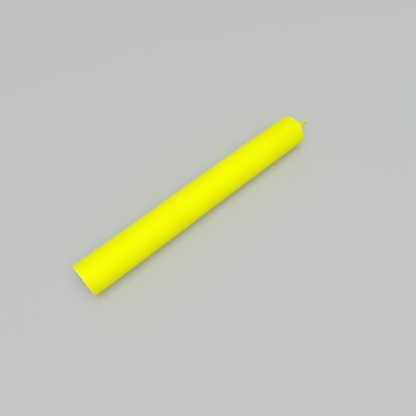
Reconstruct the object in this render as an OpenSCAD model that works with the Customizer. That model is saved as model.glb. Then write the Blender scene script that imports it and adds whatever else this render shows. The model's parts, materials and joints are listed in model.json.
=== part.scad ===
// Straight stick candle, lying on its side with the wick towards +X.
// A pale paraffin core stands round a primed cotton wick, braided flat from three bundles of yarn,
// and a skin of neon wax covers the wall, the head and the foot of the wick. The base is cut square.
// All lengths are in millimetres and all angles in degrees.

/* [Candle] */
// Outside diameter of the finished candle
candle_d = 21.5; // [18:0.5:24]
// Length of the straight wall, from the cut base to the shoulder
wall_l = 169; // [120:1:300]
// Thickness of the dipped neon skin
skin_t = 0.7; // [0.4:0.1:0.9]

/* [Head] */
// Radius of the soft edge between the wall and the head
shoulder_r = 1; // [1:0.1:3]
// Slope of the head, measured from the plane of the base
head_slope = 32; // [15:1:40]
// Height of the wax that climbs the wick, above the shoulder
root_h = 10.9; // [9:0.1:16]
// Angle between the wick and the side of the wax that climbs it
root_angle = 22; // [14:1:26]
// Length of the curve that blends the head into the wax on the wick, on each side of the corner
root_blend = 2.2; // [0.5:0.1:3]

/* [Wick] */
// Length of the wick along its own line, from the base to its cut end
wick_l = 184; // [182:0.5:320]
// Width of the flat braid
braid_w = 2.4; // [1.6:0.1:2.8]
// Thickness of the flat braid
braid_t = 1.26; // [0.9:0.02:1.5]
// Length in which a bundle crosses the braid and comes back
braid_pitch = 9; // [6:0.5:14]
// How far the braid's flat side is turned about the wick's line
braid_roll = -35; // [-90:5:90]
// Length of the free end that bends over
bend_l = 4; // [3:0.5:10]
// Angle through which the free end bends
bend_angle = 34; // [0:1:40]
// How much wider the braid has opened at its cut end
end_splay = 0.4; // [0:0.05:0.6]

/* [Hidden] */
$fn = 96;

candle_r = candle_d / 2;
root_top = wall_l + root_h;
// Straight pieces in each curve of the head's outline
curve_steps = 8;

// The primer just covers the braid, and fills the hole through the wax.
primer_r = braid_w / 2 + 0.05;
// Wall of the neon skin where it thins out on the wick
root_lip = 0.14;

// Each bundle is an oval. These shares of the braid let the three pass each other without touching.
bundle_w = 0.34 * braid_w;
bundle_t = 0.4 * braid_t;
sway_w = (braid_w - bundle_w) / 2;
sway_t = (braid_t - bundle_t) / 2;
bundles = 3;
bundle_sides = 8;
rings_per_pitch = 9;
// Length of wick that has opened at the cut end
splay_l = 2.5;

// The soft edge of the candle, r inside or outside the same centre line
function shoulder(r) = [
    for (i = [0 : curve_steps]) let (a = (90 - head_slope) * i / curve_steps)
    [candle_r - shoulder_r + r * cos(a), wall_l + r * sin(a)]
];

// Points of a quadratic curve from a to b that leaves and arrives pointing at the corner c
function blend(a, c, b) = [
    for (i = [0 : curve_steps]) let (t = i / curve_steps)
    (1 - t) * (1 - t) * a + 2 * t * (1 - t) * c + t * t * b
];

function last(list) = list[len(list) - 1];
function unit(v) = v / norm(v);

skin_edge = shoulder(shoulder_r);
core_edge = shoulder(shoulder_r - skin_t);

// Foot of the wax on the wick: where the head's slope meets the side of that wax
root_tip = [primer_r + root_lip, root_top];
head_dir = [-cos(head_slope), sin(head_slope)];
root_dir = [-sin(root_angle), cos(root_angle)];
head_start = last(skin_edge);
across = root_tip - head_start;
head_run = (across.x * root_dir.y - across.y * root_dir.x)
    / (head_dir.x * root_dir.y - head_dir.y * root_dir.x);
corner = head_start + head_run * head_dir;

// Where the core's own slope reaches the wick
core_start = last(core_edge);
core_tip = [primer_r, core_start.y + (core_start.x - primer_r) * tan(head_slope)];

// A point of the wick's centre line, s along it, and the direction sideways in the plane of the bend
bend_start = wick_l - bend_l;
bend_r = bend_angle > 0 ? bend_l / (bend_angle * PI / 180) : 0;
function bend_at(s) = bend_angle * max(0, s - bend_start) / bend_l;
function centre_at(s) = let (b = bend_at(s)) b > 0
    ? [0, bend_r * (cos(b) - 1), bend_start + bend_r * sin(b)]
    : [0, 0, s];
function side_at(s) = let (b = bend_at(s)) [0, cos(b), sin(b)];
function splay_at(s) = 1 + end_splay * pow(max(0, s - wick_l + splay_l) / splay_l, 2);

// Ring of points round one bundle, s along the wick
function bundle_ring(s, phase) = let (
    turn = 360 * s / braid_pitch + phase,
    grow = splay_at(s),
    sway = grow * [sway_w * sin(turn), sway_t * sin(2 * turn)],
    out = [1, 0, 0],
    side = side_at(s)
) [
    for (k = [0 : bundle_sides - 1]) let (
        a = 360 * (k + 0.5) / bundle_sides,
        flat = sway + grow * [bundle_w * cos(a), bundle_t * sin(a)] / 2,
        across_out = flat.x * cos(braid_roll) - flat.y * sin(braid_roll),
        across_side = flat.x * sin(braid_roll) + flat.y * cos(braid_roll)
    )
    centre_at(s) + across_out * out + across_side * side
];

// The cut end is not quite square to the base, so the overall length is that of its furthest point.
overall_l = max([
    for (i = [0 : bundles - 1])
    for (p = bundle_ring(wick_l, i * 360 / bundles))
    p.z
]);

// Lays an upright candle down, centred on the origin and resting on the ground plane
module laid_down() {
    translate([-overall_l / 2, 0, candle_r])
        rotate([0, 90, 0])
            children();
}

// Core of white paraffin, with a hole for the wick
module wax_core() {
    color("ivory")
        laid_down()
            rotate_extrude()
                polygon(concat(
                    [[primer_r, 0], [candle_r - skin_t, 0]],
                    core_edge,
                    [core_tip]
                ));
}

// Skin of neon wax over the wall and head, drawn out thin where it climbs the wick
module neon_skin() {
    color("yellow")
        laid_down()
            rotate_extrude()
                polygon(concat(
                    [[candle_r - skin_t, 0], [candle_r, 0]],
                    skin_edge,
                    blend(
                        corner - root_blend * head_dir,
                        corner,
                        corner + root_blend * root_dir
                    ),
                    [root_tip, [primer_r, root_top], core_tip],
                    [for (i = [len(core_edge) - 1 : -1 : 0]) core_edge[i]]
                ));
}

// Hard wax that the wick was primed with, round and between its bundles
module wick_primer() {
    color("khaki")
        laid_down()
            cylinder(r = primer_r, h = root_top);
}

// One of the three bundles of cotton yarn, numbered from 0
module wick_strand(index) {
    steps = ceil(wick_l / braid_pitch * rings_per_pitch);
    points = [
        for (i = [0 : steps])
        each bundle_ring(wick_l * i / steps, index * 360 / bundles)
    ];
    n = bundle_sides;
    sides = [
        for (i = [0 : steps - 1], k = [0 : n - 1]) let (
            a = i * n + k,
            b = i * n + (k + 1) % n
        )
        each [[a, a + n, b], [b, a + n, b + n]]
    ];
    start_cap = [for (k = [0 : n - 1]) k];
    end_cap = [for (k = [n - 1 : -1 : 0]) steps * n + k];
    color("cornsilk")
        laid_down()
            polyhedron(points, concat(sides, [start_cap, end_cap]));
}

wax_core();
neon_skin();
wick_primer();
wick_strand(0);  // wick_strand_1
wick_strand(1);  // wick_strand_2
wick_strand(2);  // wick_strand_3
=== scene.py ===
"""Looks for the stick candle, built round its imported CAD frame. All lengths are in metres.

The candle lies along +X, from its cut base to its wick. "Along" is the distance from the base,
"turn" is the angle round the candle's axis, from +Z (up) towards +Y, and r is the distance from
that axis. Every surface is an array of rings of points, so numpy works on a whole piece at once.
"""
import json
import math
import random

import bpy
import numpy as np
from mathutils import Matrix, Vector, noise


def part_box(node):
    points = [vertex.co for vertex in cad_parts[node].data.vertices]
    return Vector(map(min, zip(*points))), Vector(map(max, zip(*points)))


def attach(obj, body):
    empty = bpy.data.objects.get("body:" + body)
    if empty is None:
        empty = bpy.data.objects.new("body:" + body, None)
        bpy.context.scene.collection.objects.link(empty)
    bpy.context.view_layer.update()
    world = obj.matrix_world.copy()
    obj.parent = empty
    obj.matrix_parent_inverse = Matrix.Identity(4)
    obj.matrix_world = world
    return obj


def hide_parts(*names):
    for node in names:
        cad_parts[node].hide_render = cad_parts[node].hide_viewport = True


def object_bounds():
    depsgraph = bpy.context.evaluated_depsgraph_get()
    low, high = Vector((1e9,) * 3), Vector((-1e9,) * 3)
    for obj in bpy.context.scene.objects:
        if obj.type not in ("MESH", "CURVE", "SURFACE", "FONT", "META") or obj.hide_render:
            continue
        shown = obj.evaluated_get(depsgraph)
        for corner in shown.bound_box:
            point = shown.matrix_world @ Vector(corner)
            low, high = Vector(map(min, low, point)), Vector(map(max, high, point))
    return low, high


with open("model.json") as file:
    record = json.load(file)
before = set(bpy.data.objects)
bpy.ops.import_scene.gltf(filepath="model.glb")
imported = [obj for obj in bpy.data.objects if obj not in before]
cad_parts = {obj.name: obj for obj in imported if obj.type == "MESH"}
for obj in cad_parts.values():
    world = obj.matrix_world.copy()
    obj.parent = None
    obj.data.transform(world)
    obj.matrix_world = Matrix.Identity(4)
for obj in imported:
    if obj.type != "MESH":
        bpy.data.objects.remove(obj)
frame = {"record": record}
cad_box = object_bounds()

MM = 0.001

# ---- Sizes of the CAD part ------------------------------------------------------------------

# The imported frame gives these.
SPIGOT = next(m for m in frame["record"]["mounts"] if m["name"] == "holder_spigot")
BASE_X = cad_box[0].x
WALL_R = SPIGOT["dims"]["r_mm"] * MM
WALL_L = SPIGOT["dims"]["length_mm"] * MM
CORE_R = (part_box("wax_core")[1].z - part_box("wax_core")[0].z) / 2
PRIMER_R = (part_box("wick_primer")[1].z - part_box("wick_primer")[0].z) / 2
ROOT_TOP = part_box("neon_skin")[1].x - BASE_X
SKIN_T = WALL_R - CORE_R
# These repeat the settings of the same names in part.scad.
SHOULDER_R = 1.0 * MM
HEAD_SLOPE = math.radians(32)
ROOT_ANGLE = math.radians(22)
ROOT_BLEND = 2.2 * MM
ROOT_LIP = 0.14 * MM
WICK_L = 184.0 * MM
BRAID_W = 2.4 * MM
BRAID_T = 1.26 * MM
BRAID_PITCH = 9.0 * MM
BRAID_ROLL = math.radians(-35)
BEND_L = 4.0 * MM
BEND_ANGLE = math.radians(34)
END_SPLAY = 0.4
SPLAY_L = 2.5 * MM
BUNDLE_W = 0.34 * BRAID_W
BUNDLE_T = 0.4 * BRAID_T
BUNDLES = 3

# ---- How this candle differs from a perfect cylinder ------------------------------------------

# Sideways bow of the axis: at mid length, in an S, over the last quarter, and all along
BOW_MID = 0.42 * MM
BOW_S = -0.41 * MM
BOW_END = 0.45 * MM
BOW_OFFSET = -0.25 * MM
# The wax at the foot of the wick leans to one side, and the wick comes out of it towards the other.
ROOT_LEAN = -0.5 * MM
WICK_LEAN = 0.3 * MM
# The base was cut a little out of square, by this much for each unit across
BASE_SKEW = 0.024
# Width of the bevel that the cut left round the base
ARRIS = 0.12 * MM
# How far the wax that gathered on the head's rim stands out, along the candle
RIM_CREST = 0.25 * MM


def bow(along):
    """Sideways shift of the candle's axis at a distance from the base."""
    s = np.clip(along / WALL_L, 0, 1)
    middle = 4 * s * (1 - s) * BOW_MID
    s_curve = 8 * s * (1 - s) * (1 - 2 * s) * BOW_S
    end = 16 * np.maximum(0, s - 0.75) ** 2 * BOW_END
    root = smoothstep(along, WALL_L, ROOT_TOP - 1.5 * MM) * ROOT_LEAN
    wick = smoothstep(along, ROOT_TOP - 1.5 * MM, ROOT_TOP + 1.5 * MM) * WICK_LEAN
    return middle + s_curve + end + root + wick + BOW_OFFSET


# ---- Mesh helpers ---------------------------------------------------------------------------

def smooth_noise(points, scale, seed, stretch=(1, 1, 1)):
    """Soft noise of about -1 to 1 at each point, with bumps of about that scale."""
    shift = Vector((seed * 7.31, seed * 3.17, seed * 5.93))
    places = points / (np.array(stretch) * scale)
    flat = places.reshape(-1, 3)
    values = np.array([noise.noise(Vector(p) + shift) for p in flat])
    return values.reshape(points.shape[:-1])


def smoothstep(x, low, high):
    t = np.clip((x - low) / (high - low), 0, 1)
    return t * t * (3 - 2 * t)


def circle(count):
    """That many angles, evenly round a circle."""
    return np.linspace(0, 2 * math.pi, count + 1)[:-1]


def tube_faces(rings, count, loop=False, caps=False, first=0):
    """Faces that join each ring of count points to the next, numbered from the point called first."""
    faces = []
    for i in range(rings if loop else rings - 1):
        j = (i + 1) % rings
        for k in range(count):
            m = (k + 1) % count
            quad = (i * count + k, i * count + m, j * count + m, j * count + k)
            faces.append(tuple(first + p for p in quad))
    if caps:
        last = first + (rings - 1) * count
        faces.append(tuple(range(first + count - 1, first - 1, -1)))
        faces.append(tuple(range(last, last + count)))
    return faces


def new_piece(name, points, faces, material):
    """A mesh object in the row frame that rides on the candle's body."""
    mesh = bpy.data.meshes.new(name)
    mesh.from_pydata(points.reshape(-1, 3).tolist(), [], faces)
    mesh.shade_smooth()
    mesh.materials.append(material)
    obj = bpy.data.objects.new(name, mesh)
    bpy.context.scene.collection.objects.link(obj)
    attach(obj, "root")
    return obj


def add_mask(obj, name, values):
    """Stores one number for each point of a piece, which its material reads."""
    attribute = obj.data.attributes.new(name, "FLOAT", "POINT")
    attribute.data.foreach_set("value", np.asarray(values, np.float32).ravel())


def revolve(profile, turns):
    """Rings of points from a profile of (along, r), with no bow: each is (along, y, z)."""
    along = profile[:, 0][:, None] + 0 * turns
    r = profile[:, 1][:, None] + 0 * turns
    return np.stack([along, r * np.sin(turns), r * np.cos(turns)], axis=-1)


def place(points):
    """Moves points about the straight axis to the row frame, with the bow and the skewed base cut."""
    along, y, z = points[..., 0], points[..., 1], points[..., 2]
    near_base = 1 - smoothstep(along, 0, 12 * MM)
    x = along - BASE_SKEW * y * near_base
    return np.stack([BASE_X + x, y + bow(along), np.maximum(0, WALL_R + z)], axis=-1)


def evenly(start, end, step):
    """Points from start towards end about a step apart, without the end itself."""
    start, end = np.array(start), np.array(end)
    count = max(1, int(round(np.linalg.norm(end - start) / step)))
    return [start + (end - start) * i / count for i in range(count)]


# ---- Wax --------------------------------------------------------------------------------------

# Angles of the points in each ring of wax
TURNS = circle(160)


def shoulder(r, steps=8):
    """Soft edge between the wall and the head, as (along, r)."""
    angles = np.linspace(0, math.pi / 2 - HEAD_SLOPE, steps + 1)
    return [np.array([WALL_L + r * math.sin(a), WALL_R - SHOULDER_R + r * math.cos(a)]) for a in angles]


def outer_profile():
    """The skin's outside, from the base to the lip on the wick."""
    head_dir = np.array([math.sin(HEAD_SLOPE), -math.cos(HEAD_SLOPE)])
    root_dir = np.array([math.cos(ROOT_ANGLE), -math.sin(ROOT_ANGLE)])
    tip = np.array([ROOT_TOP, PRIMER_R + ROOT_LIP])
    edge = shoulder(SHOULDER_R)
    across = tip - edge[-1]
    run = (across[0] * root_dir[1] - across[1] * root_dir[0]) / (
        head_dir[0] * root_dir[1] - head_dir[1] * root_dir[0]
    )
    corner = edge[-1] + run * head_dir
    a, b = corner - ROOT_BLEND * head_dir, corner + ROOT_BLEND * root_dir
    curve = [(1 - t) ** 2 * a + 2 * t * (1 - t) * corner + t * t * b for t in np.linspace(0, 1, 12)]
    points = [np.array([0, WALL_R - ARRIS]), np.array([0.35 * ARRIS, WALL_R - 0.35 * ARRIS])]
    points += evenly([ARRIS, WALL_R], [2 * MM, WALL_R], 0.2 * MM)
    points += evenly([2 * MM, WALL_R], edge[0], 1.0 * MM)
    points += edge[:-1]
    points += evenly(edge[-1], a, 0.3 * MM)
    points += curve[:-1]
    points += evenly(b, tip, 0.25 * MM)
    # The lip rounds over on to the primed wick.
    lip = [[ROOT_TOP - 0.02 * MM, ROOT_LIP], [ROOT_TOP + 0.06 * MM, 0.6 * ROOT_LIP]]
    points += [np.array([along, PRIMER_R + r]) for along, r in lip]
    profile = np.array(points)
    # The rim stands out most at the shoulder, and not at all near the wick.
    crest = smoothstep(profile[:, 0], WALL_L - 8 * MM, WALL_L)
    crest *= smoothstep(profile[:, 1], 0.4 * WALL_R, WALL_R - 0.5 * MM)
    profile[:, 0] += crest * RIM_CREST
    return profile


def core_outline():
    """The core's shoulder and head, from its wall to the wick, as (along, r)."""
    edge = shoulder(SHOULDER_R - SKIN_T, 4)
    tip = edge[-1] + np.array([math.tan(HEAD_SLOPE), -1]) * (edge[-1][1] - PRIMER_R)
    return edge[:-1] + evenly(edge[-1], tip, 0.8 * MM) + [tip]


def surface_shift(points):
    """How far the dipped surface stands out from a true body of revolution, at each of its points."""
    along = points[..., 0]
    slow = smooth_noise(points, 16 * MM, 1, (2.5, 1, 1)) * 0.05 * MM
    runs = smooth_noise(points, 4 * MM, 2, (14, 1, 1)) * 0.022 * MM
    lumps = smooth_noise(points, 3.2 * MM, 3) * 0.012 * MM
    head = smoothstep(along, WALL_L - 2 * MM, WALL_L + 3 * MM)
    root = smoothstep(along, ROOT_TOP - 6 * MM, ROOT_TOP)
    head_lumps = smooth_noise(points, 3.5 * MM, 4) * 0.22 * MM * head * (1 - 0.8 * root)
    nicks = smoothstep(smooth_noise(points, 1.1 * MM, 5), 0.25, 0.6) * 0.09 * MM
    return slow + runs + lumps + head_lumps - nicks * (1 - smoothstep(along, 0, 0.5 * MM))


def shift_out(points, shift):
    """Moves each point away from the axis by its shift."""
    r = np.linalg.norm(points[..., 1:], axis=-1)
    moved = points.copy()
    moved[..., 1:] *= (1 + shift / r)[..., None]
    return moved


def cut_marks(points):
    """Adds the relief that a blade left to the points that lie on the base."""
    y, z = points[..., 1], points[..., 2]
    flat = np.stack([y, z, 0 * y], axis=-1)
    blade = math.radians(18)
    across = y * math.cos(blade) + z * math.sin(blade)
    wobble = smooth_noise(flat, 5 * MM, 11) * 0.5 * MM
    chatter = np.sin((across + wobble) / (0.9 * MM) * 2 * math.pi) * 0.018 * MM
    grain = smooth_noise(flat, 0.6 * MM, 12, (1, 4, 1)) * 0.02 * MM
    marked = points.copy()
    on_base = np.abs(points[..., 0]) < 1e-9
    marked[..., 0] += np.where(on_base, chatter + grain, 0)
    return marked


def wax_piece(name, rings, material):
    """A piece from rings whose last one joins the first."""
    # Taken backwards, the rings give faces that point out of the wax.
    rings = place(cut_marks(rings))[::-1]
    faces = tube_faces(len(rings), len(TURNS), loop=True)
    return new_piece(name, rings, faces, material)


def build_skin(material):
    outside = revolve(outer_profile(), TURNS)
    outside = shift_out(outside, surface_shift(outside))
    inner = [np.array([ROOT_TOP, PRIMER_R])] + list(reversed(core_outline()))
    inner += evenly([WALL_L, CORE_R], [0, CORE_R], 2 * MM)[1:]
    base = [[0, r] for r in np.linspace(CORE_R, WALL_R - ARRIS, 6)[:-1]]
    inside = revolve(np.array(inner + base), TURNS)
    piece = wax_piece("neon_wax_skin", np.concatenate([outside, inside]), material)
    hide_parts("neon_skin")


def build_core(material):
    profile = [[0, r] for r in np.linspace(PRIMER_R, CORE_R, 44)[:-1]]
    profile += evenly([0, CORE_R], [WALL_L, CORE_R], 2 * MM)
    profile += core_outline()
    profile += evenly([profile[-1][0], PRIMER_R], [0, PRIMER_R], 3 * MM)[1:]
    piece = wax_piece("pale_wax_core", revolve(np.array(profile), TURNS), material)
    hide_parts("wax_core")


# ---- Wick -------------------------------------------------------------------------------------

def wick_points(s, flat_x, flat_y):
    """Points (along, y, z) on the braid: s along its line, and a place in its flat cross-section."""
    bend = BEND_ANGLE * np.maximum(0, s - (WICK_L - BEND_L)) / BEND_L
    bend_r = BEND_L / BEND_ANGLE
    along = np.where(bend > 0, WICK_L - BEND_L + bend_r * np.sin(bend), s)
    out = flat_x * math.cos(BRAID_ROLL) - flat_y * math.sin(BRAID_ROLL)
    side = flat_x * math.sin(BRAID_ROLL) + flat_y * math.cos(BRAID_ROLL)
    y = bend_r * (np.cos(bend) - 1)
    return np.stack([along + side * np.sin(bend), y + side * np.cos(bend), -out + 0 * along], axis=-1)


def splay(s):
    """How much the braid has opened at a place along its line."""
    return 1 + END_SPLAY * (np.maximum(0, s - WICK_L + SPLAY_L) / SPLAY_L) ** 2


def bundle_centre(s, index):
    """Where a bundle's own centre runs in the braid's flat cross-section."""
    turn = 2 * math.pi * (s / BRAID_PITCH + index / BUNDLES)
    grow = splay(s)
    return (
        grow * (BRAID_W - BUNDLE_W) / 2 * np.sin(turn),
        grow * (BRAID_T - BUNDLE_T) / 2 * np.sin(2 * turn),
    )


YARNS = 5
YARN_TWIST = 2.3 * MM
BUNDLE_SIDES = 30


def build_bundle(index, material):
    """One of the braid's three bundles, with its yarns as lobes that twist where they can be seen."""
    fine_from = ROOT_TOP - 3 * MM
    s = np.concatenate([
        np.arange(0.03 * MM, 3 * MM, 0.2 * MM),
        np.arange(3 * MM, fine_from, 1.0 * MM),
        np.arange(fine_from, WICK_L, 0.1 * MM),
        [WICK_L],
    ])[:, None]
    angles = circle(BUNDLE_SIDES)
    twist = 2 * math.pi * np.maximum(0, s - fine_from) / YARN_TWIST
    lobe = np.abs(np.cos(YARNS / 2 * (angles - twist))) ** 0.6
    radius = 0.78 + 0.22 * lobe
    cx, cy = bundle_centre(s, index)
    grow = splay(s)
    flat_x = cx + grow * radius * BUNDLE_W / 2 * np.cos(angles)
    flat_y = cy + grow * radius * BUNDLE_T / 2 * np.sin(angles)
    rings = wick_points(s + 0 * angles, flat_x, flat_y)
    fuzz = smooth_noise(rings, 0.16 * MM, 20 + index) * 0.012 * MM
    rings[..., 2] += fuzz
    ends = smooth_noise(rings, 0.3 * MM, 30 + index) * 0.12 * MM
    rings[..., 0] += ends * smoothstep(s, WICK_L - 0.2 * MM, WICK_L)
    faces = tube_faces(len(s), BUNDLE_SIDES, caps=True)
    piece = new_piece(f"wick_bundle_{index + 1}", place(rings), faces, material)
    # This mask marks the grooves between the yarns, where shade is painted into the colour.
    add_mask(piece, "groove_shade", (1 - lobe) + 0 * s)
    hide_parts(f"wick_strand_{index + 1}")


def tube(path, radii, sides=6):
    """Rings round a path of points, of the given radius at each."""
    ahead = np.gradient(path, axis=0)
    ahead /= np.linalg.norm(ahead, axis=1)[:, None]
    side = np.cross(ahead, [0.0, 0.3, 1.0])
    side /= np.linalg.norm(side, axis=1)[:, None]
    other = np.cross(ahead, side)
    angles = circle(sides)
    ring = np.cos(angles)[None, :, None] * side[:, None] + np.sin(angles)[None, :, None] * other[:, None]
    return path[:, None] + radii[:, None, None] * ring


# Loose fibres on each bundle, the length of wick that they stand out of, and their radius
FIBRES = 12
FRAYED_L = 2.2 * MM
FIBRE_R = 0.02 * MM
# The cut yarns start this far inside their bundle.
YARN_ROOT = 0.35 * MM
YARN_R = 0.105 * MM


def build_fray(material):
    """Cut ends of the yarns, which stand a little out of the bundles, and loose fibres."""
    draw = random.Random(5)
    points, faces, count = [], [], 0
    t = np.linspace(0, 1, 7)
    ahead = np.array([math.cos(BEND_ANGLE), -math.sin(BEND_ANGLE), 0])

    def in_bundle(s, index, angle, reach, back=0.0):
        """A point at that share of a bundle's radius, moved back along the wick, and the wick's middle."""
        cx, cy = bundle_centre(s, index)
        x = cx + reach * splay(s) * BUNDLE_W / 2 * math.cos(angle)
        y = cy + reach * splay(s) * BUNDLE_T / 2 * math.sin(angle)
        return wick_points(np.array(s - back), x, y), wick_points(np.array(s - back), 0.0, 0.0)

    def curl(most):
        return np.array([draw.uniform(-1, 1) for _ in range(3)]) * most

    def add(start, direction, bend, length, radius, taper):
        nonlocal count
        path = start + t[:, None] * length * direction + (t ** 2)[:, None] * length * bend
        rings = tube(path, radius * (1 - taper * t ** 3))
        points.append(rings.reshape(-1, 3))
        faces.extend(tube_faces(len(t), rings.shape[1], caps=True, first=count))
        count += len(points[-1])

    for index in range(BUNDLES):
        # A ring of yarns, and one in the middle
        for yarn in range(YARNS + 1):
            angle = 2 * math.pi * yarn / YARNS + 0.4 * index
            reach = 0 if yarn == YARNS else 0.62
            start, middle = in_bundle(WICK_L, index, angle, reach, YARN_ROOT)
            spread = (start - middle) / MM * 0.22
            add(start, ahead + spread, curl(0.16), draw.uniform(0.55, 0.85) * MM, YARN_R, 0.75)
        for _ in range(FIBRES):
            s = WICK_L - draw.uniform(0.0, 1.0) ** 2 * FRAYED_L
            start, middle = in_bundle(s, index, draw.uniform(0, 2 * math.pi), 0.85)
            out = (start - middle) / np.linalg.norm(start - middle)
            add(start, ahead + 0.5 * out, curl(0.8), draw.uniform(0.25, 0.75) * MM, FIBRE_R, 0.5)
    piece = new_piece("wick_frayed_end", place(np.concatenate(points)), faces, material)
    add_mask(piece, "groove_shade", np.zeros(count))


def build_primer(material):
    """Hard wax round the wick: dished at the base, and drawn up between the bundles at the top."""
    turns = circle(48)
    base = [[0.24 * MM * (1 - share ** 2), share] for share in (0.12, 0.35, 0.6, 0.85)]
    rod = [[along, 1] for along in np.concatenate([[0], np.linspace(1 * MM, ROOT_TOP, 60)])]
    climb = [[ROOT_TOP + rise * MM, 1] for rise in (0.12, 0.25, 0.45, 0.7, 1.0, 1.35)]
    rows = np.array(base + rod + climb)
    along, share = rows[:, :1], rows[:, 1:]
    hug = smoothstep(along, ROOT_TOP - 0.05 * MM, ROOT_TOP + 0.9 * MM)
    thin = 1 - 0.28 * smoothstep(along, ROOT_TOP + 0.3 * MM, ROOT_TOP + 1.4 * MM)
    wide = thin * (PRIMER_R + (0.47 * BRAID_W - PRIMER_R) * hug)
    deep = thin * (PRIMER_R + (0.47 * BRAID_T - PRIMER_R) * hug)
    flat_x, flat_y = share * wide * np.cos(turns), share * deep * np.sin(turns)
    rings = wick_points(along + 0 * turns, flat_x, flat_y)
    rings[..., 0] += smooth_noise(rings, 0.7 * MM, 41) * 0.12 * MM * hug
    faces = tube_faces(len(rows), len(turns), caps=True)
    piece = new_piece("wick_primer_wax", place(rings), faces, material)
    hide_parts("wick_primer")


# ---- Materials ---------------------------------------------------------------------------------

class Look:
    """A Principled material, with short ways to wire its nodes."""

    def __init__(self, name, **sockets):
        self.material = bpy.data.materials.new(name)
        self.material.use_nodes = True
        self.tree = self.material.node_tree
        self.shader = self.tree.nodes["Principled BSDF"]
        self.place = self.add("ShaderNodeTexCoord").outputs["Object"]
        for socket, value in sockets.items():
            self.shader.inputs[socket.replace("_", " ")].default_value = value

    def add(self, kind, **settings):
        node = self.tree.nodes.new(kind)
        for name, value in settings.items():
            setattr(node, name, value)
        return node

    def feed(self, socket, value):
        """Sets an input, or links it where the value is another node's output."""
        if isinstance(value, bpy.types.NodeSocket):
            self.tree.links.new(value, socket)
        else:
            socket.default_value = value

    def math(self, operation, *values):
        node = self.add("ShaderNodeMath", operation=operation)
        for socket, value in zip(node.inputs, values):
            self.feed(socket, value)
        return node.outputs[0]

    def times(self, a, b):
        return self.math("MULTIPLY", a, b)

    def stretched(self, size, stretch):
        mapping = self.add("ShaderNodeMapping")
        mapping.inputs["Scale"].default_value = [1 / (size * s) for s in stretch]
        self.feed(mapping.inputs["Vector"], self.place)
        return mapping.outputs[0]

    def noise(self, size, detail=2.0, stretch=(1, 1, 1)):
        """Noise of about 0 to 1, with features of that size."""
        node = self.add("ShaderNodeTexNoise")
        self.feed(node.inputs["Vector"], self.stretched(size, stretch))
        node.inputs["Scale"].default_value = 1
        node.inputs["Detail"].default_value = detail
        return node.outputs["Fac"]

    def cells(self, size):
        """Distance of about 0 to 1 from the middle of each cell."""
        node = self.add("ShaderNodeTexVoronoi")
        self.feed(node.inputs["Vector"], self.stretched(size, (1, 1, 1)))
        node.inputs["Scale"].default_value = 1
        return node.outputs["Distance"]

    def ramp(self, value, low, high, start=0.0, end=1.0):
        """A smooth change from start, where the value is low, to end, where it is high."""
        node = self.add("ShaderNodeMapRange", interpolation_type="SMOOTHSTEP")
        for socket, v in zip(node.inputs, (value, low, high, start, end)):
            self.feed(socket, v)
        return node.outputs[0]

    def mix(self, factor, a, b):
        """Colour a, or b where the factor is 1."""
        node = self.add("ShaderNodeMix", data_type="RGBA")
        for socket, value in zip((node.inputs[0], node.inputs[6], node.inputs[7]), (factor, a, b)):
            self.feed(socket, (*value, 1) if isinstance(value, tuple) else value)
        return node.outputs[2]

    def mask(self, name):
        return self.add("ShaderNodeAttribute", attribute_name=name).outputs["Fac"]

    def along(self):
        """Distance from the skewed base cut."""
        split = self.add("ShaderNodeSeparateXYZ")
        self.feed(split.inputs[0], self.place)
        skewed = self.math("MULTIPLY_ADD", split.outputs[1], BASE_SKEW, split.outputs[0])
        return self.math("SUBTRACT", skewed, BASE_X)

    def near(self, point, reach):
        """1 at a point, falling to 0 at the ellipsoid of that reach round it."""
        offset = self.add("ShaderNodeVectorMath", operation="SUBTRACT")
        self.feed(offset.inputs[0], self.place)
        offset.inputs[1].default_value = point
        scaled = self.add("ShaderNodeVectorMath", operation="DIVIDE")
        self.feed(scaled.inputs[0], offset.outputs[0])
        scaled.inputs[1].default_value = reach
        length = self.add("ShaderNodeVectorMath", operation="LENGTH")
        self.feed(length.inputs[0], scaled.outputs[0])
        return self.ramp(length.outputs["Value"], 0.35, 1.0, 1.0, 0.0)

    def bump(self, *layers):
        """Stacks layers of (height, depth in metres) on the surface."""
        normal = None
        for height, depth in layers:
            node = self.add("ShaderNodeBump")
            node.inputs["Distance"].default_value = depth
            self.feed(node.inputs["Height"], height)
            if normal:
                self.feed(node.inputs["Normal"], normal)
            normal = node.outputs[0]
        self.feed(self.shader.inputs["Normal"], normal)

    def paint(self, colour, roughness):
        self.feed(self.shader.inputs["Base Color"], colour)
        self.feed(self.shader.inputs["Roughness"], roughness)


def on_wall(along, turn):
    """A point of the candle's wall, in the row frame."""
    return place(np.array([along, WALL_R * math.sin(turn), WALL_R * math.cos(turn)])).tolist()


# A pale scuff on the wall, and how far it reaches
SCUFF = on_wall(71.5 * MM, math.radians(8.5))
SCUFF_REACH = (2.9 * MM, 1.5 * MM, 1.5 * MM)
# Painted shade on the lower side of the wick's free end, and how far it reaches
PAINTED_WICK_SHADE = place(wick_points(np.array(WICK_L - 1.3 * MM), BRAID_W / 2, 0.0)).tolist()
PAINTED_WICK_SHADE_REACH = (1.5 * MM, 1.2 * MM, 1.3 * MM)
# The floor's two tones
FLOOR = ((0.552, 0.565, 0.557), (0.549, 0.565, 0.562))


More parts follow.
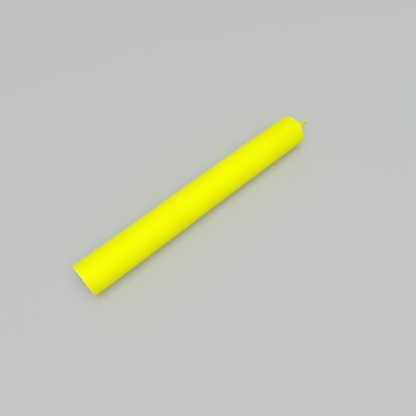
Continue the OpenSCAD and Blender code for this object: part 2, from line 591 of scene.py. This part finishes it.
def neon_wax():
    # The faint emission is a painted glow that lifts the wax where it is in shade.
    look = Look(
        "neon_wax", Specular_IOR_Level=0.05, Specular_Tint=(1.0, 1.0, 0.1, 1),
        Emission_Color=(0.95, 1.0, 0.0, 1), Emission_Strength=0.05,
    )
    along = look.along()
    # Cloudy depth of dye, thin streaks where the dip ran down, and specks of pigment
    cloud = look.ramp(look.noise(11 * MM, 2, (2.2, 1, 1)), 0.3, 0.7)
    blotch = look.ramp(look.noise(2.4 * MM, 3), 0.35, 0.65)
    streak = look.ramp(look.noise(0.5 * MM, 2, (28, 1, 1)), 0.4, 0.7)
    speck = look.ramp(look.noise(0.16 * MM, 1), 0.62, 0.72)
    colour = look.mix(cloud, (0.850, 0.890, 0.0), (0.885, 0.925, 0.0))
    colour = look.mix(look.times(blotch, 0.4), colour, (0.880, 0.900, 0.0))
    colour = look.mix(look.times(streak, 0.3), colour, (0.850, 0.910, 0.0))
    colour = look.mix(look.times(speck, 0.3), colour, (0.93, 0.93, 0.02))
    # Painted shade: the wax darkens towards the head.
    deep = look.ramp(along, WALL_L - 45 * MM, WALL_L - 8 * MM)
    colour = look.mix(look.times(deep, 0.75), colour, (0.815, 0.850, 0.0))
    # The skin is thin and dull where it climbs the wick.
    thin = look.ramp(along, WALL_L + 4 * MM, ROOT_TOP - 1 * MM)
    colour = look.mix(look.times(thin, 0.95), colour, (0.60, 0.655, 0.05))
    # The edge of the base is paler, more so in patches.
    rim = look.ramp(along, 0.15 * MM, 0.6 * MM, 1.0, 0.0)
    rim = look.times(rim, look.ramp(look.noise(1.6 * MM, 3), 0.3, 0.65, 0.35, 1.0))
    scuff = look.near(SCUFF, SCUFF_REACH)
    scuff = look.times(scuff, look.ramp(look.noise(0.35 * MM, 3, (5, 1, 1)), 0.3, 0.6, 0.5, 1.0))
    bloom = look.ramp(look.noise(6 * MM, 5, (2, 1, 1)), 0.6, 0.75, 0.0, 0.04)
    pale = look.math("MAXIMUM", look.times(rim, 0.75), look.math("MAXIMUM", look.times(scuff, 0.22), bloom))
    colour = look.mix(pale, colour, (0.93, 0.96, 0.12))
    roughness = look.ramp(look.noise(1.3 * MM, 3, (3, 1, 1)), 0.3, 0.7, 0.42, 0.56)
    roughness = look.math("ADD", roughness, look.times(pale, 0.25))
    look.paint(colour, roughness)
    look.bump(
        (look.noise(0.9 * MM, 2, (3, 1, 1)), 0.020 * MM),
        (look.noise(0.14 * MM, 2), 0.004 * MM),
        (scuff, 0.02 * MM),
    )
    return look.material


def core_wax():
    look = Look("core_wax", Specular_IOR_Level=0.35, Subsurface_Weight=0.15, Subsurface_Scale=0.002)
    look.shader.inputs["Subsurface Radius"].default_value = (1.0, 0.8, 0.5)
    split = look.add("ShaderNodeSeparateXYZ")
    look.feed(split.inputs[0], look.place)
    y = look.math("SUBTRACT", split.outputs[1], BOW_OFFSET)
    z = look.math("SUBTRACT", split.outputs[2], WALL_R)
    r = look.math("SQRT", look.math("ADD", look.times(y, y), look.times(z, z)))
    crystal = look.ramp(look.cells(0.9 * MM), 0.2, 0.8)
    cloud = look.ramp(look.noise(3.5 * MM, 3), 0.3, 0.7)
    colour = look.mix(cloud, (0.84, 0.83, 0.66), (0.90, 0.89, 0.76))
    colour = look.mix(look.times(crystal, 0.3), colour, (0.95, 0.94, 0.86))
    # Neon dye has crept into the core, most of it near the skin.
    dye = look.ramp(look.math("ADD", r, look.times(look.noise(1.2 * MM, 2), 0.8 * MM)),
                    CORE_R - 0.9 * MM, CORE_R + 0.6 * MM)
    colour = look.mix(look.times(dye, 0.85), colour, (0.86, 0.92, 0.12))
    # Wax that soaked out of the wick leaves a faint ring round it.
    ring = look.ramp(r, 1.1 * MM, 2.4 * MM, 1.0, 0.0)
    colour = look.mix(look.times(ring, 0.35), colour, (0.78, 0.76, 0.55))
    look.paint(colour, look.ramp(look.noise(0.7 * MM, 3), 0.3, 0.7, 0.45, 0.7))
    look.bump((crystal, 0.01 * MM), (look.noise(0.12 * MM, 3, (1, 1, 5)), 0.012 * MM))
    return look.material


def primer_wax():
    look = Look("primer_wax", Specular_IOR_Level=0.3)
    cloud = look.ramp(look.noise(0.6 * MM, 3), 0.3, 0.7)
    colour = look.mix(cloud, (0.66, 0.67, 0.16), (0.76, 0.78, 0.26))
    look.paint(colour, look.ramp(look.noise(0.3 * MM, 2), 0.3, 0.7, 0.35, 0.6))
    look.bump((look.noise(0.25 * MM, 3), 0.02 * MM))
    return look.material


def wick_cotton():
    look = Look("wick_cotton", Specular_IOR_Level=0.25, Sheen_Weight=0.2, Sheen_Roughness=0.5)
    along = look.along()
    fibre = look.ramp(look.noise(0.05 * MM, 2, (7, 1, 1)), 0.3, 0.7)
    colour = look.mix(fibre, (0.72, 0.73, 0.20), (0.86, 0.86, 0.32))
    # Neon wax soaked the foot of the wick.
    soaked = look.ramp(along, ROOT_TOP + 0.5 * MM, WICK_L - 1.5 * MM, 0.85, 0.15)
    soaked = look.times(soaked, look.ramp(look.noise(0.8 * MM, 2), 0.25, 0.6, 0.7, 1.0))
    colour = look.mix(soaked, colour, (0.72, 0.78, 0.10))
    # Painted shade darkens the lower side of the free end to olive brown.
    underside_shade = look.near(PAINTED_WICK_SHADE, PAINTED_WICK_SHADE_REACH)
    colour = look.mix(look.times(underside_shade, 0.6), colour, (0.34, 0.33, 0.07))
    # Painted shade darkens the grooves between the yarns.
    groove_shade = look.ramp(look.mask("groove_shade"), 0.25, 0.9)
    colour = look.mix(look.times(groove_shade, 0.6), colour, (0.30, 0.29, 0.10))
    look.paint(colour, look.ramp(fibre, 0.0, 1.0, 0.6, 0.85))
    look.bump((fibre, 0.015 * MM), (look.noise(0.22 * MM, 2, (2, 1, 1)), 0.03 * MM))
    return look.material


def floor_paint():
    look = Look("floor_paint", Specular_IOR_Level=0.2)
    cloud = look.ramp(look.noise(120 * MM, 2), 0.3, 0.7)
    look.paint(look.mix(cloud, *FLOOR), 0.9)
    return look.material


# ---- Stage, light and camera -----------------------------------------------------------------

FLOOR_SIZE = 6
SKY_STRENGTH = 0.50
SOFTBOX_AT = Vector((-0.20, -0.60, 2.4))
SOFTBOX_SIZE = 2.4
SOFTBOX_POWER = 40.4


def build_stage():
    bpy.ops.mesh.primitive_plane_add(size=FLOOR_SIZE, location=(0, 0, 0))
    floor = bpy.context.object
    floor.name = "studio_floor"
    floor.data.materials.append(floor_paint())


def build_light():
    """An even white sky, and one large softbox over the candle."""
    world = bpy.data.worlds.new("studio")
    world.use_nodes = True
    sky = world.node_tree.nodes["Background"]
    sky.inputs["Color"].default_value = (1, 1, 1, 1)
    sky.inputs["Strength"].default_value = SKY_STRENGTH
    bpy.context.scene.world = world
    data = bpy.data.lights.new("softbox", "AREA")
    data.shape = "SQUARE"
    data.size = SOFTBOX_SIZE
    data.energy = SOFTBOX_POWER
    lamp = bpy.data.objects.new("softbox", data)
    lamp.location = SOFTBOX_AT
    lamp.rotation_euler = (-SOFTBOX_AT).to_track_quat("-Z", "Y").to_euler()
    bpy.context.scene.collection.objects.link(lamp)


# The camera looks down at the candle from in front and from the base's side.
CAMERA_AZIMUTH = math.radians(-40.45)
CAMERA_ELEVATION = math.radians(60.11)
CAMERA_DISTANCE = 248.9 * MM
CAMERA_LENS_MM = 34.615
CAMERA_AIM = Vector((BASE_X + 84.1 * MM, -9.6 * MM, WALL_R))


def build_camera():
    back = Vector((
        math.sin(CAMERA_AZIMUTH) * math.cos(CAMERA_ELEVATION),
        -math.cos(CAMERA_AZIMUTH) * math.cos(CAMERA_ELEVATION),
        math.sin(CAMERA_ELEVATION),
    ))
    data = bpy.data.cameras.new("camera")
    data.sensor_width = 36
    data.lens = CAMERA_LENS_MM
    data.clip_start = 0.01
    camera = bpy.data.objects.new("camera", data)
    camera.location = CAMERA_AIM + CAMERA_DISTANCE * back
    camera.rotation_euler = (-back).to_track_quat("-Z", "Y").to_euler()
    bpy.context.scene.collection.objects.link(camera)
    bpy.context.scene.camera = camera


build_stage()
build_light()
build_camera()
bpy.context.scene.view_settings.view_transform = "Standard"

build_skin(neon_wax())
build_core(core_wax())
build_primer(primer_wax())
cotton = wick_cotton()
for strand in range(BUNDLES):
    build_bundle(strand, cotton)
build_fray(cotton)
